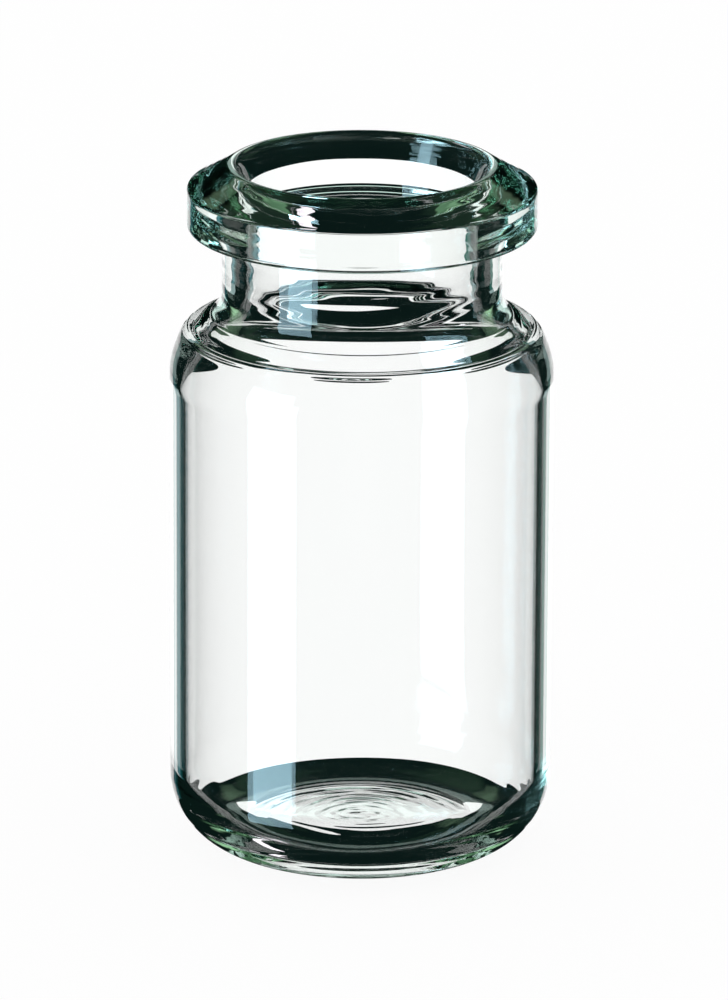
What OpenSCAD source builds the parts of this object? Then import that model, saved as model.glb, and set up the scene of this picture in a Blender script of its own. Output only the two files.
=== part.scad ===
// Glass sample vial with a bevelled 20 mm crimp crown.
// One piece of clear glass tube, formed hot: lip, crown, neck, shoulder, wall, heel and base
// are one turned section, so the whole vial is a single revolved profile around +Z.
// The origin is the middle of the circle that the vial stands on.

/* [Body] */
// Overall height, from the resting ring to the top of the lip
total_h = 40.4; // [34:0.2:60]
// Outer diameter of the body
body_d = 22; // [21.4:0.2:30]
// Thickness of the body's wall
wall = 0.9; // [0.6:0.05:1.4]

/* [Base] */
// Outer radius of the heel, between the wall and the resting ring
heel_r = 4.2; // [3:0.1:5]
// Inner radius of the heel, between the wall and the floor
heel_in_r = 3.5; // [2.5:0.1:4.5]
// Width of the flat ring that the vial stands on
ring_w = 0.2; // [0.1:0.05:1.5]
// Thickness of the glass above the resting ring
base_t = 1.2; // [0.9:0.05:2]
// Height of the push-up under the middle of the base
push_up_h = 0.4; // [0.2:0.05:0.8]
// Rise of the floor inside, from the heel to its middle
floor_rise = 0.4; // [0.1:0.05:1]

/* [Shoulder] */
// Outer radius of the bend from the wall into the shoulder
shoulder_r = 3.7; // [3:0.1:4.2]
// Inner radius of the same bend
shoulder_in_r = 4.1; // [3:0.1:4.6]
// Thickness of the glass in the shoulder's slope
shoulder_wall = 0.95; // [0.8:0.05:1.2]
// Slope of the shoulder, in degrees from upright
shoulder_slope = 60; // [50:1:62]

/* [Neck] */
// Outer diameter of the neck
neck_d = 16; // [14.6:0.1:16.6]
// Height of the neck's straight outer wall, under the crown
neck_h = 3.75; // [2.5:0.05:5]
// Radius of the hollow between the neck and the shoulder
neck_fillet_r = 1.5; // [0.5:0.1:2.2]
// Radius of the throat, where the bore opens into the body
throat_r = 3.2; // [2.4:0.1:4]

/* [Crown] */
// Diameter of the crown's upright band, which a crimp cap fits over
crown_d = 20; // [19.2:0.1:21]
// Height of the upright band
band_h = 2.4; // [1.6:0.1:3.2]
// Height of the bevel, from the band to the top of the lip
bevel_h = 1.35; // [1:0.05:2]
// Outer diameter of the lip, at the top of the bevel
lip_d = 16.2; // [15.6:0.1:17]
// Radius of the lip's outer edge
lip_r = 0.6; // [0.3:0.05:0.7]
// Radius of the edge between the bevel and the band
bevel_edge_r = 0.25; // [0.1:0.05:0.5]
// Radius of the band's lower edge, which the cap's skirt is turned under
skirt_edge_r = 0.3; // [0.1:0.05:0.6]
// Radius of the corner between the crown and the neck
undercut_r = 0.4; // [0.1:0.05:0.8]

/* [Mouth] */
// Diameter of the bore through the crown and the neck
bore_d = 13.2; // [12.6:0.1:13.4]
// Depth of the flare that the bore opens into under the lip
flare_h = 1.5; // [0.5:0.1:2.5]
// Slope of the flare, in degrees from upright
flare_slope = 19; // [5:1:22]
// Radius of the mouth's inner edge, at the top of the flare
mouth_edge_r = 0.25; // [0.1:0.05:0.35]

/* [Hidden] */
// Straight chords in each rounded edge, and in each long bend
edge_steps = 6;
bend_steps = 14;
// Sides of the turned solid in a preview
$fn = 120;

glass_colour = [0.82, 0.92, 0.91, 0.45];

// Radii of the main cylinders
body_ro = body_d / 2;
body_ri = body_ro - wall;
neck_ro = neck_d / 2;
crown_ro = crown_d / 2;
bore_ri = bore_d / 2;
flare_ri = bore_ri + flare_h * tan(flare_slope);

// Heights of the crown, from the top down
band_top_z = total_h - bevel_h;
crown_z = band_top_z - band_h;

// Radii from the axis to the middles of the heel's bends, outside and inside
heel_mid_r = body_ro - heel_r;
heel_in_mid_r = body_ri - heel_in_r;
ring_ri = heel_mid_r - ring_w;

// Outside, the shoulder is a bend, a short cone and a hollow, each tangent to the next. Inside, its
// bend runs straight on into the throat. These are the radii from the axis to the middles of its bends.
shoulder_mid_r = body_ro - shoulder_r;
shoulder_in_mid_r = body_ri - shoulder_in_r;

// Bevel: the line from the band's top corner that just touches the lip's rounded edge
lip_mid = [lip_d / 2 - lip_r, total_h - lip_r];
band_corner = [crown_ro, band_top_z];
to_lip = lip_mid - band_corner;
bevel_dir = atan2(to_lip[1], to_lip[0]) - asin(lip_r / norm(to_lip));
bevel_out = bevel_dir - 90;
bevel_edge_drop = bevel_edge_r * tan(bevel_out / 2);

// Points on an arc about mid, from angle a to angle b
function arc(mid, r, a, b, steps) =
    [for (i = [0:steps]) mid + r * [cos(a + (b - a) * i / steps), sin(a + (b - a) * i / steps)]];

// Outside: length of the shoulder's cone, and heights of the hollow above it and the bend below it
cone_run =
    (shoulder_mid_r - neck_ro - neck_fillet_r + (shoulder_r + neck_fillet_r) * cos(shoulder_slope))
    / sin(shoulder_slope);
hollow_z = crown_z - neck_h;
shoulder_z = hollow_z - (shoulder_r + neck_fillet_r) * sin(shoulder_slope)
    - cone_run * cos(shoulder_slope);

// Inside: the bend leaves shoulder_wall of glass in the slope, and meets the throat at throat_slope
shoulder_in_z = shoulder_z
    + (shoulder_r - shoulder_wall - shoulder_in_r
        - (shoulder_in_mid_r - shoulder_mid_r) * cos(shoulder_slope)) / sin(shoulder_slope);
throat_slope = acos((bore_ri + throat_r - shoulder_in_mid_r) / (shoulder_in_r + throat_r));
throat_z = shoulder_in_z + (shoulder_in_r + throat_r) * sin(throat_slope);

// Middle of the mouth's inner edge, tangent to the lip's top and to the flare
mouth_edge_mid = [flare_ri + mouth_edge_r / tan(45 + flare_slope / 2), total_h - mouth_edge_r];

// A shallow dome of the given rise, as points from the axis out to radius r at height z
function dome(r, z, rise) =
    let (sphere_r = (r * r + rise * rise) / (2 * rise))
    arc([0, z + rise - sphere_r], sphere_r, 90, 90 - asin(r / sphere_r), bend_steps);

function reverse(points) = [for (i = [len(points) - 1:-1:0]) points[i]];

// Outside, from the middle of the base up to the crown
function base_outside() = dome(ring_ri, 0, push_up_h);
function heel_outside() = arc([heel_mid_r, heel_r], heel_r, -90, 0, bend_steps);
function shoulder_outside() =
    concat(arc([shoulder_mid_r, shoulder_z], shoulder_r, 0, shoulder_slope, bend_steps),
        arc([neck_ro + neck_fillet_r, hollow_z], neck_fillet_r, 180 + shoulder_slope, 180, edge_steps));

// Crown: undercut, band and bevel
function crown_outside() =
    concat(arc([neck_ro + undercut_r, crown_z - undercut_r], undercut_r, 180, 90, edge_steps),
        arc([crown_ro - skirt_edge_r, crown_z + skirt_edge_r], skirt_edge_r, -90, 0, edge_steps),
        arc([crown_ro - bevel_edge_r, band_top_z - bevel_edge_drop], bevel_edge_r, 0, bevel_out,
            edge_steps));

// Lip and the flared mouth, down to the bore
function lip() = arc(lip_mid, lip_r, bevel_out, 90, edge_steps);
function mouth() =
    concat(arc(mouth_edge_mid, mouth_edge_r, 90, 180 - flare_slope, edge_steps),
        [[bore_ri, total_h - flare_h]]);

// Inside, from the throat down to the middle of the floor
function shoulder_inside() =
    concat(arc([bore_ri + throat_r, throat_z], throat_r, 180, 180 + throat_slope, bend_steps),
        arc([shoulder_in_mid_r, shoulder_in_z], shoulder_in_r, throat_slope, 0, bend_steps));
function heel_inside() = arc([heel_in_mid_r, base_t + heel_in_r], heel_in_r, 0, -90, bend_steps);
function base_inside() = reverse(dome(heel_in_mid_r, base_t, floor_rise));

// The whole vial, turned from its section
module vial() {
    color(glass_colour)
        rotate_extrude()
            polygon(concat(base_outside(), heel_outside(), shoulder_outside(), crown_outside(),
                lip(), mouth(), shoulder_inside(), heel_inside(), base_inside()));
}

vial();
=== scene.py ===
import math

import bpy
import numpy as np
from mathutils import Matrix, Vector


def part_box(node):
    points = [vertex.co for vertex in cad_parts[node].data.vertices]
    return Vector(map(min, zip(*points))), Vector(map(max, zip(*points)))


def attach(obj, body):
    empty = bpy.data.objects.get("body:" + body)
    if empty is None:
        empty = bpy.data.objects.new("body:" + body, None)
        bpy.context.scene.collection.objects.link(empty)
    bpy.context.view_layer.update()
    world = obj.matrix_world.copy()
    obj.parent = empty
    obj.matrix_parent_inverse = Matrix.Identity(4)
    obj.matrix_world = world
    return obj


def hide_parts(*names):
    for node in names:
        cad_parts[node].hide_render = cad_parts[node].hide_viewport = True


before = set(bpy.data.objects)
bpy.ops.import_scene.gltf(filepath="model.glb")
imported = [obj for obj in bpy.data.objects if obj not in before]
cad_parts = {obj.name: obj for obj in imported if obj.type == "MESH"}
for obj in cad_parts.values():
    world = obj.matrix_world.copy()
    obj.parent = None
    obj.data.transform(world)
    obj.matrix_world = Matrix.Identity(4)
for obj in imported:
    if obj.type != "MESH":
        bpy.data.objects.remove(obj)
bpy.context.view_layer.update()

# ------------------------------------------------------------------ the vial
# One piece of clear borosilicate tube. The crown, lip and flared mouth are rolled and plunged while
# the neck is hot, the shoulder is drawn in a flame, and the base is closed by melting the tube's end
# and pushing its middle up, so that the vial stands on a ring.
MM = 0.001
low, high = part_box("vial")
total_h = (high.z - low.z) / MM
body_ro = (high.x - low.x) / MM / 2
wall = 0.9
heel_r, heel_in_r, ring_w, base_t = 4.2, 3.5, 0.2, 1.2
push_up_h, floor_rise = 0.4, 0.4
shoulder_r, shoulder_in_r, shoulder_wall = 3.7, 4.1, 0.95
shoulder_slope = math.radians(60)
neck_ro, neck_h, neck_fillet_r, throat_r = 8.0, 3.75, 1.5, 3.2
crown_ro, band_h, bevel_h = 10.0, 2.4, 1.35
lip_ro, lip_r, bevel_edge_r, skirt_edge_r, undercut_r = 8.1, 0.6, 0.25, 0.3, 0.4
bore_ri, flare_h, flare_angle = 6.6, 1.5, math.radians(19)

quarter = math.pi / 2
body_ri = body_ro - wall
band_top_z = total_h - bevel_h
crown_z = band_top_z - band_h
hollow_z = crown_z - neck_h
heel_mid_r = body_ro - heel_r
ring_ri = heel_mid_r - ring_w
shoulder_mid_r = body_ro - shoulder_r
shoulder_in_mid_r = body_ri - shoulder_in_r

cone_run = (
    shoulder_mid_r - neck_ro - neck_fillet_r
    + (shoulder_r + neck_fillet_r) * math.cos(shoulder_slope)) / math.sin(shoulder_slope)
shoulder_z = (
    hollow_z - (shoulder_r + neck_fillet_r) * math.sin(shoulder_slope)
    - cone_run * math.cos(shoulder_slope))
shoulder_in_z = shoulder_z + (
    shoulder_r - shoulder_wall - shoulder_in_r
    - (shoulder_in_mid_r - shoulder_mid_r) * math.cos(shoulder_slope)) / math.sin(shoulder_slope)
throat_slope = math.acos((bore_ri + throat_r - shoulder_in_mid_r) / (shoulder_in_r + throat_r))
throat_z = shoulder_in_z + (shoulder_in_r + throat_r) * math.sin(throat_slope)
lip_mid = (lip_ro - lip_r, total_h - lip_r)
to_lip = (lip_mid[0] - crown_ro, lip_mid[1] - band_top_z)
bevel_out = math.atan2(to_lip[1], to_lip[0]) - math.asin(lip_r / math.hypot(*to_lip)) - quarter
bevel_edge_drop = bevel_edge_r * math.tan(bevel_out / 2)
flare_ri = bore_ri + flare_h * math.tan(flare_angle)


def arc(mid, r, a, b, gap):
    """Points on a circle of radius r about mid, from angle a to angle b, no further apart than gap."""
    t = np.linspace(a, b, int(np.ceil(abs(b - a) * r / gap)) + 1)
    return np.stack([mid[0] + r * np.cos(t), mid[1] + r * np.sin(t)], 1)


def dome(r, z, rise, gap):
    """A shallow cap of the given rise, from the axis out to radius r at height z."""
    ball = (r * r + rise * rise) / (2 * rise)
    return arc((0, z + rise - ball), ball, quarter, quarter - math.asin(r / ball), gap)


def run(a, b, gap):
    """Points on the straight line from a to b, no further apart than gap."""
    steps = int(np.ceil(math.dist(a, b) / gap))
    return np.linspace(a, b, steps + 1)


under_base = dome(ring_ri, 0, push_up_h, 0.13)
heel = arc((heel_mid_r, heel_r), heel_r, -quarter, 0, 0.1)
shoulder = arc((shoulder_mid_r, shoulder_z), shoulder_r, 0, shoulder_slope, 0.05)
fillet = arc(
    (neck_ro + neck_fillet_r, hollow_z), neck_fillet_r, math.pi + shoulder_slope, math.pi, 0.13)
undercut = arc((neck_ro + undercut_r, crown_z - undercut_r), undercut_r, math.pi, quarter, 0.1)
skirt = arc((crown_ro - skirt_edge_r, crown_z + skirt_edge_r), skirt_edge_r, -quarter, 0, 0.08)
bevel_edge = arc(
    (crown_ro - bevel_edge_r, band_top_z - bevel_edge_drop), bevel_edge_r, 0, bevel_out, 0.05)
lip = arc(lip_mid, lip_r, bevel_out, quarter, 0.09)
# The lip's top runs into the mouth as a quarter of an ellipse, which stops short at the flare.
lip_soft, lip_drop, lip_short = lip_mid[0] - flare_ri, 0.3, 0.32
lip_t = np.linspace(quarter, math.pi - lip_short, 12)[1:]
mouth_edge = np.stack([
    lip_mid[0] + lip_soft * np.cos(lip_t), total_h - lip_drop + lip_drop * np.sin(lip_t)], 1)
flare_foot = (bore_ri, total_h - flare_h)
throat = arc((bore_ri + throat_r, throat_z), throat_r, math.pi, math.pi + throat_slope, 0.13)
shoulder_in = arc((shoulder_in_mid_r, shoulder_in_z), shoulder_in_r, throat_slope, 0, 0.13)
heel_in = arc((body_ri - heel_in_r, base_t + heel_in_r), heel_in_r, 0, -quarter, 0.24)
inner_floor = dome(body_ri - heel_in_r, base_t, floor_rise, 0.13)[::-1]

section = np.vstack([
    under_base, heel, run(heel[-1], shoulder[0], 0.9), shoulder, run(shoulder[-1], fillet[0], 0.05),
    fillet, run(fillet[-1], undercut[0], 0.2), undercut, run(undercut[-1], skirt[0], 0.3),
    skirt, run(skirt[-1], bevel_edge[0], 0.12), bevel_edge, run(bevel_edge[-1], lip[0], 0.1),
    lip, mouth_edge, run(mouth_edge[-1], flare_foot, 0.1), run(flare_foot, throat[0], 0.14),
    throat, shoulder_in, run(shoulder_in[-1], heel_in[0], 0.9),
    heel_in, inner_floor,
])
section = section[np.append(True, np.linalg.norm(np.diff(section, axis=0), axis=1) > 1e-6)]


def skin_waves(line, sides):
    """How far the skin is pushed in along its normal, in mm, for each point of the line and each side.

    Each zone has a sum of cosines, cos(2 pi s / wavelength + lobes * turn + phase), where s is the
    distance along the line. It is raised so that it only pushes in, and it fades in and out at the
    zone's two ends. Each ring mark adds depth * exp(-((s - its s) / width) squared), times a share
    that goes round the axis as 0.35 + 0.65 cos(turns * angle from the front + shift), kept from 0
    to 1. A mark with a negative depth swells outwards.
    """
    fade_part = 0.12
    share_mean, share_swing = 0.35, 0.65
    s = np.append(0, np.cumsum(np.linalg.norm(np.diff(line, axis=0), axis=1)))[:, None]
    t = (np.arange(sides) * 2 * math.pi / sides)[None, :]
    outer = np.arange(len(line)) < np.argmax(line[:, 1] >= total_h - 1e-9)
    push = np.zeros((len(line), sides))
    for side, z0, z1, r0, r1, wave, slope, lobes, count, seed in zones:
        dice = np.random.default_rng(seed)
        in_r = (line[:, 0] > r0) & (line[:, 0] < r1)
        spot = (outer == side) & (line[:, 1] > z0) & (line[:, 1] < z1) & in_r
        if not spot.any():
            continue
        where = s[spot, 0]
        a, b = where.min(), where.max()
        fade = np.clip(np.minimum(s - a, b - s) / (fade_part * (b - a)), 0, 1)
        fade = fade * fade * (3 - 2 * fade)
        field = np.zeros_like(push)
        for _ in range(count):
            long = wave * math.exp(dice.uniform(-0.35, 0.35))
            m = dice.integers(-lobes, lobes + 1)
            k = slope * long / (2 * math.pi) * math.sqrt(2 / count)
            field += k * np.cos(2 * math.pi * s / long + m * t + dice.uniform(0, 2 * math.pi))
        push += fade * (np.abs(field).max() - field)
    t0 = t + quarter
    for z, width, depth, turns, shift in rings:
        at = s[np.argmin(np.abs(line[:, 1] - z) + 9 * ~outer), 0]
        share = share_mean + share_swing * np.cos(turns * t0 + shift)
        push += depth * np.exp(-((s - at) / width) ** 2) * np.clip(share, 0, 1)
    return push


# z, width and depth in mm, turns round the axis, shift
rings = [
    (1.8, 0.25, 0.05, 1, 0),
    (31.67, 0.08, 0.04, 1, 0.1),
    (30.85, 0.09, 0.07, 1, -0.1),
    (30.53, 0.09, 0.08, 7, 0.4),
    (30.9, 0.35, 0.16, 3, 3.14),
    (30.6, 0.75, -0.14, 2, 3.14),
]
deg = math.radians(1)
# side (True outside), z from-to, r from-to, wavelength mm, slope, lobes round the axis, waves, seed
zones = [
    (True, -1, 1.0, 0.0, 6.2, 0.8, 1.2 * deg, 3, 8, 1),
    (False, 1.0, 1.8, 0.0, 6.4, 0.9, 1.8 * deg, 3, 8, 2),
    (False, 32.6, 35.9, 6.0, 9.9, 0.8, 1.2 * deg, 4, 10, 9),
    (True, 1.0, 4.2, 8.0, 11.1, 0.9, 0.5 * deg, 4, 10, 14),
    (True, 36.9, 38.9, 9.9, 10.1, 0.6, 1.6 * deg, 14, 14, 5),
    (True, 39.1, 40.3, 8.0, 9.95, 0.5, 2.2 * deg, 14, 16, 6),
]


def revolve(name, line, sides):
    """A closed skin: each point of the line, in r and z, runs once round the axis; the ends are poles.

    The skin is pushed in along its normal by skin_waves, and its normals are the cross product of the
    differences between neighbours, so that a long cell beside a short one doesn't bend them.
    """
    ahead = np.vstack([line[1:2] - line[:1], line[2:] - line[:-2], line[-1:] - line[-2:-1]])
    out = np.stack([ahead[:, 1], -ahead[:, 0]], 1) / np.linalg.norm(ahead, axis=1)[:, None]
    push = skin_waves(line, sides)
    r = line[:, :1] - push * out[:, :1]
    z = line[:, 1:] - push * out[:, 1:]
    t = np.arange(sides) * 2 * math.pi / sides
    grid = np.stack([r * np.cos(t), r * np.sin(t), z], -1)
    grid[0], grid[-1] = (0, 0, z[0].mean()), (0, 0, z[-1].mean())
    along = grid[2:] - grid[:-2]
    around = np.roll(grid, -1, 1)[1:-1] - np.roll(grid, 1, 1)[1:-1]
    normal = np.cross(around, along).reshape(-1, 3)
    normal /= np.linalg.norm(normal, axis=1)[:, None]
    normal = np.vstack([normal, [(0, 0, -1), (0, 0, 1)]])
    co = np.vstack([grid[1:-1].reshape(-1, 3), grid[0, :1], grid[-1, :1]]) * MM
    rows = len(line) - 2
    i = np.arange(rows - 1)[:, None] * sides
    j = np.arange(sides)[None, :]
    k = (j + 1) % sides
    quads = np.stack([i + j, i + k, i + sides + k, i + sides + j], -1).reshape(-1, 4)
    last = (rows - 1) * sides
    first_fan = np.stack([k[0], j[0], np.full(sides, rows * sides)], 1)
    last_fan = np.stack([last + j[0], last + k[0], np.full(sides, rows * sides + 1)], 1)
    mesh = bpy.data.meshes.new(name)
    mesh.from_pydata(co.tolist(), [], quads.tolist() + first_fan.tolist() + last_fan.tolist())
    mesh.polygons.foreach_set("use_smooth", np.ones(len(mesh.polygons), bool))
    mesh.update()
    mesh.normals_split_custom_set_from_vertices(normal.tolist())
    piece = bpy.data.objects.new(name, mesh)
    bpy.context.scene.collection.objects.link(piece)
    return piece


def linear(code):
    """An sRGB hex colour as linear RGBA."""
    c = np.array([int(code[i:i + 2], 16) for i in (1, 3, 5)]) / 255
    return (*np.where(c <= 0.04045, c / 12.92, ((c + 0.055) / 1.055) ** 2.4), 1.0)


def add(tree, kind, links=None, **settings):
    """Adds one node: links maps an input to a socket or a value, settings are its properties."""
    node = tree.nodes.new(kind)
    for name, value in settings.items():
        setattr(node, name, value)
    for name, value in (links or {}).items():
        if isinstance(value, bpy.types.NodeSocket):
            tree.links.new(value, node.inputs[name])
        else:
            node.inputs[name].default_value = value
    return node


def new_material(name):
    """An empty node material and its output node."""
    material = bpy.data.materials.new(name)
    material.use_nodes = True
    material.node_tree.nodes.clear()
    return material, material.node_tree, add(material.node_tree, "ShaderNodeOutputMaterial")


def borosilicate_glass():
    """Clear glass: the bends show as dark and light bands, and long paths in it turn faintly green."""
    material, tree, out = new_material("borosilicate_glass")
    glass = add(tree, "ShaderNodeBsdfPrincipled", {
        "Base Color": (1, 1, 1, 1), "Roughness": 0.0, "IOR": 1.492, "Transmission Weight": 1.0})
    tint = add(tree, "ShaderNodeVolumeAbsorption", {"Color": linear("#effdf5"), "Density": 60.0})
    tree.links.new(glass.outputs["BSDF"], out.inputs["Surface"])
    tree.links.new(tint.outputs["Volume"], out.inputs["Volume"])
    return material


SIDES = 176
vial = revolve("glass_vial", section, SIDES)
vial.data.materials.append(borosilicate_glass())
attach(vial, "root")
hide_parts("vial")

# ------------------------------------------------------------------ camera
# A long lens half a metre in front of the vial. It looks 17 degrees down, so that the mouth shows as
# an ellipse, and is rolled by a quarter of a degree. The vial's sides stay almost parallel.
scene = bpy.context.scene
lens = bpy.data.cameras.new("camera")
lens.sensor_fit = "AUTO"
lens.sensor_width = 36.0
lens.lens = 327.7
camera = bpy.data.objects.new("camera", lens)
scene.collection.objects.link(camera)
scene.camera = camera
tilt, roll = 0.2993, 0.0046
upright = Matrix.Rotation(math.radians(90) - tilt, 4, "X") @ Matrix.Rotation(roll, 4, "Z")
camera.matrix_world = Matrix.Translation((0.00017, -0.5, 0.1747)) @ upright
lens.clip_start, lens.clip_end = 0.01, 50.0
bpy.context.view_layer.update()

# ------------------------------------------------------------------ floor and light
# The vial stands on white paper in a white room. Clear glass shows what is round it, so cards on a
# dark surround stand for a window behind it, walls and ceiling beyond, and a tall box at the left.
# Only the glass sees them, and they turn with the camera.
world = bpy.data.worlds.new("white_studio")
scene.world = world
world.use_nodes = True
tree = world.node_tree
tree.nodes.clear()
white = add(tree, "ShaderNodeBackground", {"Color": (1, 1, 1, 1), "Strength": 1.0})
add(tree, "ShaderNodeOutputWorld", {"Surface": white.outputs["Background"]})

floor_mesh = bpy.data.meshes.new("floor")
half = 20.0
corners = [(-half, -half, 0), (half, -half, 0), (half, half, 0), (-half, half, 0)]
floor_mesh.from_pydata(corners, [], [(0, 1, 2, 3)])
floor = bpy.data.objects.new("floor", floor_mesh)
scene.collection.objects.link(floor)
paper, tree, out = new_material("white_table")
matt = add(tree, "ShaderNodeBsdfDiffuse", {"Color": (0.9, 0.9, 0.9, 1)})
glow = add(tree, "ShaderNodeEmission", {"Color": (1, 1, 1, 1), "Strength": 1.0})
mix = add(tree, "ShaderNodeMixShader", {
    "Fac": 0.94, 1: matt.outputs["BSDF"], 2: glow.outputs["Emission"]})
tree.links.new(mix.outputs["Shader"], out.inputs["Surface"])
floor.data.materials.append(paper)
floor.visible_glossy = False
floor.visible_transmission = False

rig = bpy.data.objects.new("light_rig", None)
scene.collection.objects.link(rig)
rig.location = (0, 0, 0.02)
turn = rig.constraints.new("COPY_ROTATION")
turn.target = camera
bpy.context.view_layer.update()


def card(name, co, fade, colour, strength):
    """A card on the rig, from a grid of points about its middle; it glows by its strength times fade."""
    rows, cols = fade.shape
    i = (np.arange(rows - 1)[:, None] * cols + np.arange(cols - 1)[None, :]).reshape(-1)
    faces = np.stack([i, i + 1, i + cols + 1, i + cols], 1)
    mesh = bpy.data.meshes.new(name)
    mesh.from_pydata((co.reshape(-1, 3) @ np.array(upright.to_3x3())).tolist(), [], faces.tolist())
    mesh.attributes.new("fade", "FLOAT", "POINT").data.foreach_set("value", fade.reshape(-1))
    obj = bpy.data.objects.new(name, mesh)
    scene.collection.objects.link(obj)
    material, tree, out = new_material(name)
    faded = add(tree, "ShaderNodeAttribute", attribute_name="fade")
    level = add(tree, "ShaderNodeMath", {0: faded.outputs["Fac"], 1: strength}, operation="MULTIPLY")
    glow = add(tree, "ShaderNodeEmission", {"Color": linear(colour), "Strength": level.outputs["Value"]})
    tree.links.new(glow.outputs["Emission"], out.inputs["Surface"])
    material.cycles.emission_sampling = "NONE"
    obj.data.materials.append(material)
    obj.visible_camera = False
    obj.visible_diffuse = False
    obj.visible_shadow = False
    obj.parent = rig


def edge_fade(x, soft):
    """1 inside a range, falling smoothly to 0 at both ends over the width soft."""
    t = np.clip(np.minimum(x - x.min(), x.max() - x) / max(soft, 1e-6) + (soft == 0), 0, 1)
    return t * t * (3 - 2 * t)


def panel(name, az, el, colour, strength, radius, soft=0.0, parts=(48, 24), dip=0.0):
    """A card on a sphere about the vial.

    az and el are its limits in degrees, and az 0 is behind the vial. dip lowers the middle of its
    top edge by so many degrees, as 1 - (az / dip_half) to the fourth.
    """
    dip_half = 16
    a = np.linspace(*az, parts[0] + 1)[:, None]
    e = np.linspace(*el, parts[1] + 1)[None, :]
    fade = edge_fade(a, soft) * edge_fade(e, soft)
    e = e - dip * np.clip(1 - (a / dip_half) ** 4, 0, 1) * (e - el[0]) / (el[1] - el[0])
    a, e = np.radians(a), np.radians(e)
    co = np.stack([np.sin(a) * np.cos(e), np.cos(a) * np.cos(e), np.sin(e) + 0 * a], -1) * radius
    card(name, co, fade, colour, strength)


panel("black_surround", (-180, 180), (-90, 90), "#0a1816", 1.0, 8.0, 0.0, (96, 48))
panel("left_olive_wall", (-36, -11), (24, 37), "#9fc8a2", 1.3, 7.8, 4.0)
panel("right_olive_wall", (11, 36), (24, 37), "#9fc8a2", 1.3, 7.8, 4.0)
panel("left_ceiling", (-90, -12), (35, 65), "#8fc79a", 0.4, 7.75, 4.0)
panel("right_ceiling", (12, 90), (35, 65), "#8fc79a", 0.4, 7.75, 4.0)
panel("upper_window", (-10, 10), (8, 22), "#e4fff6", 1.1, 7.6, 2.0)
panel("left_outer_wing", (-34.0, -30), (-24, -9), "#104848", 1.0, 7.5)
panel("left_inner_wing", (-30, -26), (-24, -9), "#598e95", 1.0, 7.5)
panel("left_edge_wing", (-26, -22), (-24, -9), "#276169", 1.0, 7.5)
panel("right_wing", (20, 29), (-24, -9), "#387065", 1.0, 7.5)
panel("left_top_wing", (-34, -22), (-14, -4), "#9cb4b4", 1.0, 7.4)
panel("right_top_wing", (21.5, 34), (-14, -4), "#9cb4b4", 1.0, 7.4)
panel("white_window", (-24, 23.5), (-24.0, -13.5), "#ffffff", 1.13, 7.0)
panel("white_window_top", (-25, 25), (-13.5, -4.5), "#ffffff", 1.13, 7.0, 0.0, (100, 24), 4.2)
panel("left_box", (-138.5, -108.3), (-26, 25), "#bfecff", 6.9, 7.0)
panel("low_back_strip", (-36, -22), (-55.5, -51.8), "#fff6ff", 1.6, 7.0)

scene.view_settings.view_transform = "Standard"
scene.cycles.max_bounces = 32
scene.cycles.transmission_bounces = 32
scene.cycles.glossy_bounces = 32
